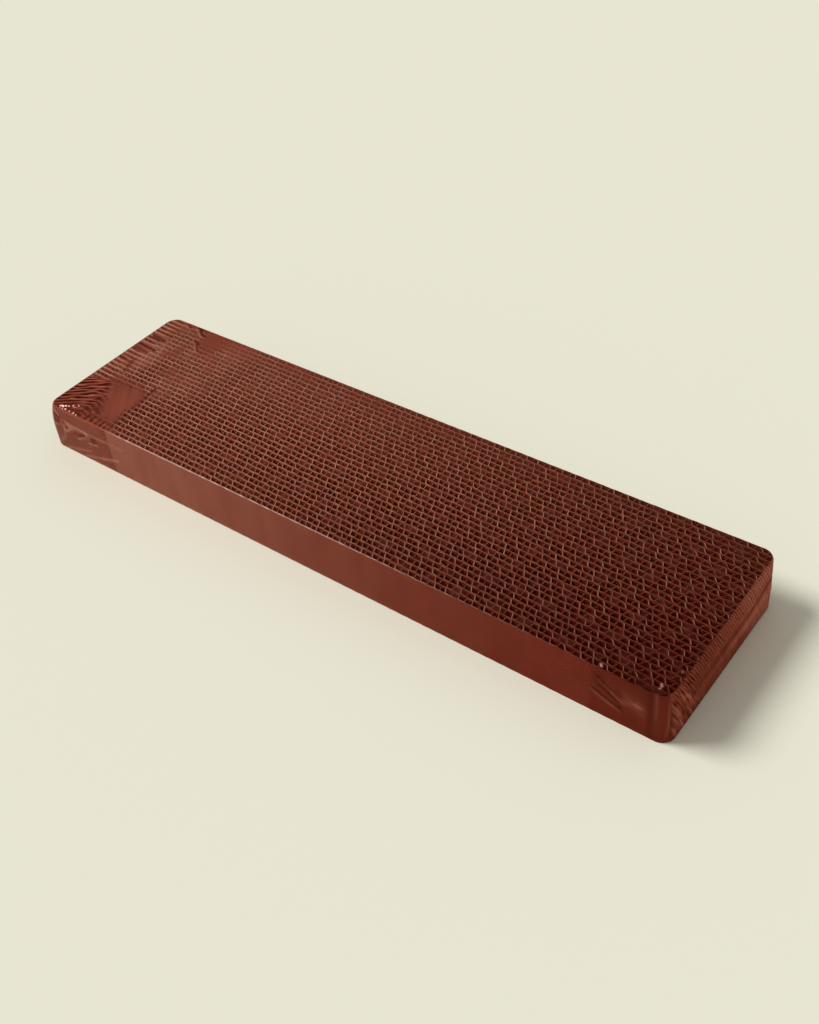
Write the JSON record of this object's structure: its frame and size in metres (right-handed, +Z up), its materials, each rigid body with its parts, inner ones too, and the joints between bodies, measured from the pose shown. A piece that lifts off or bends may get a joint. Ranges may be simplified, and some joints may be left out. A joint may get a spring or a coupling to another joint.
{
  "type": "cardboard cat scratcher",
  "caption": "Long flat cat scratching pad of corrugated board strips glued side by side on edge, with the flutes open to the top, held in clear shrink film.",
  "frame": {"origin": "middle of the underside, on the surface that the pad lies on", "axes": "+X along the strips, +Y across the stack of strips, +Z up out of the open flutes"},
  "size_m": [0.4652, 0.119, 0.0362],
  "materials": {
    "kraft_liner": "matte",
    "kraft_flute": "matte",
    "clear_film": "gloss"
  },
  "bodies": {
    "root": {"strip_01_flutes": "kraft_flute", "strip_02_flutes": "kraft_flute", "strip_03_flutes": "kraft_flute", "strip_04_flutes": "kraft_flute", "strip_05_flutes": "kraft_flute", "strip_06_flutes": "kraft_flute", "strip_07_flutes": "kraft_flute", "strip_08_flutes": "kraft_flute", "strip_09_flutes": "kraft_flute", "strip_10_flutes": "kraft_flute", "strip_11_flutes": "kraft_flute", "strip_12_flutes": "kraft_flute", "strip_13_flutes": "kraft_flute", "strip_14_flutes": "kraft_flute", "strip_15_flutes": "kraft_flute", "strip_16_flutes": "kraft_flute", "strip_17_flutes": "kraft_flute", "strip_18_flutes": "kraft_flute", "strip_19_flutes": "kraft_flute", "strip_20_flutes": "kraft_flute", "strip_21_flutes": "kraft_flute", "strip_22_flutes": "kraft_flute", "strip_23_flutes": "kraft_flute", "strip_24_flutes": "kraft_flute", "strip_25_flutes": "kraft_flute", "strip_26_flutes": "kraft_flute", "strip_27_flutes": "kraft_flute", "strip_28_flutes": "kraft_flute", "strip_29_flutes": "kraft_flute", "strip_01_liners": "kraft_liner", "strip_02_liners": "kraft_liner", "strip_03_liners": "kraft_liner", "strip_04_liners": "kraft_liner", "strip_05_liners": "kraft_liner", "strip_06_liners": "kraft_liner", "strip_07_liners": "kraft_liner", "strip_08_liners": "kraft_liner", "strip_09_liners": "kraft_liner", "strip_10_liners": "kraft_liner", "strip_11_liners": "kraft_liner", "strip_12_liners": "kraft_liner", "strip_13_liners": "kraft_liner", "strip_14_liners": "kraft_liner", "strip_15_liners": "kraft_liner", "strip_16_liners": "kraft_liner", "strip_17_liners": "kraft_liner", "strip_18_liners": "kraft_liner", "strip_19_liners": "kraft_liner", "strip_20_liners": "kraft_liner", "strip_21_liners": "kraft_liner", "strip_22_liners": "kraft_liner", "strip_23_liners": "kraft_liner", "strip_24_liners": "kraft_liner", "strip_25_liners": "kraft_liner", "strip_26_liners": "kraft_liner", "strip_27_liners": "kraft_liner", "strip_28_liners": "kraft_liner", "strip_29_liners": "kraft_liner", "shrink_film": "clear_film"}
  },
  "joints": []
}
